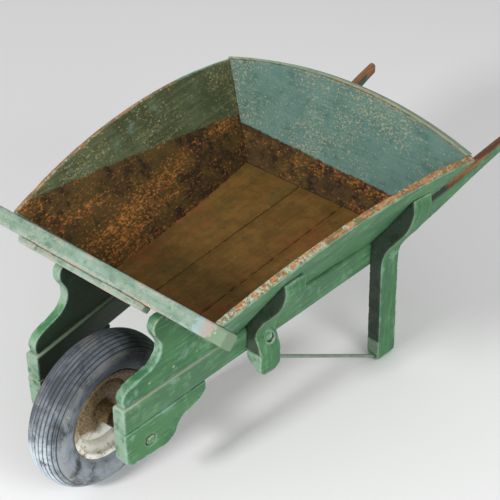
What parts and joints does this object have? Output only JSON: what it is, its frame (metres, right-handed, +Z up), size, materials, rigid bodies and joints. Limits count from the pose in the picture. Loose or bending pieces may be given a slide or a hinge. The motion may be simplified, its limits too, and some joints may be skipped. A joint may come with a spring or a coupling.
{
  "type": "wheelbarrow",
  "caption": "Wooden garden barrow with a leaning-sided tray on two long shafts, stepped cheeks at the front, legs with iron stays and a wheel with a pneumatic tyre.",
  "frame": {"origin": "on the ground under the middle of the barrow's bounding box", "axes": "+Z up, +Y from the wheel back to the handles, +X to the pusher's left"},
  "size_m": [0.7906, 1.5776, 0.6791],
  "materials": {
    "green_painted_wood": "worn gloss paint",
    "pale_painted_wood": "worn paint over bare wood",
    "blue_green_painted_wood": "chipped paint",
    "soiled_floor_wood": "stained, matt",
    "bare_wood": "matt",
    "tyre_rubber": "dusty, ribbed",
    "tube_rubber": "matt",
    "cream_rim_paint": "worn satin paint",
    "rusty_wheel_steel": "rusted",
    "bronze": "dull",
    "axle_steel": "dull, greasy",
    "weathered_iron": "painted over, worn"
  },
  "bodies": {
    "frame": {"axle": "axle_steel", "axle_spacer_left": "axle_steel", "axle_spacer_right": "axle_steel", "axle_washers": "axle_steel", "back_board": "blue_green_painted_wood", "back_cap_strip": "blue_green_painted_wood", "bracket_bolts": "weathered_iron", "cheek_nails": "weathered_iron", "floor_bearer_front": "bare_wood", "floor_bearer_middle": "bare_wood", "floor_bearer_rear": "bare_wood", "floor_nails": "weathered_iron", "floor_plank_left": "soiled_floor_wood", "floor_plank_middle": "soiled_floor_wood", "floor_plank_right": "soiled_floor_wood", "front_bracket_left": "green_painted_wood", "front_bracket_right": "green_painted_wood", "front_rail": "pale_painted_wood", "headboard_cleat_left": "bare_wood", "headboard_cleat_right": "bare_wood", "headboard_lower": "soiled_floor_wood", "headboard_upper": "soiled_floor_wood", "iron_stay_left": "weathered_iron", "iron_stay_right": "weathered_iron", "leg_bolts": "weathered_iron", "lower_cheek_left": "green_painted_wood", "lower_cheek_right": "green_painted_wood", "rail_nails": "weathered_iron", "rear_leg_left": "green_painted_wood", "rear_leg_right": "green_painted_wood", "shaft_left": "green_painted_wood", "shaft_right": "green_painted_wood", "side_board_left": "green_painted_wood", "side_board_nails": "weathered_iron", "side_board_right": "green_painted_wood", "under_cleat": "pale_painted_wood", "upper_cheek_left": "green_painted_wood", "upper_cheek_right": "green_painted_wood"},
    "wheel": {"tyre": "tyre_rubber", "inner_tube": "tube_rubber", "wheel_rim": "cream_rim_paint", "wheel_disc": "rusty_wheel_steel", "wheel_hub": "rusty_wheel_steel", "hub_bushes": "bronze", "valve_stem": "bronze"}
  },
  "joints": [
    {"name": "wheel_spin", "type": "hinge", "parent": "frame", "child": "wheel", "pos_m": [0, -0.59281, 0.196], "axis": [1, 0, 0], "continuous": true}
  ]
}
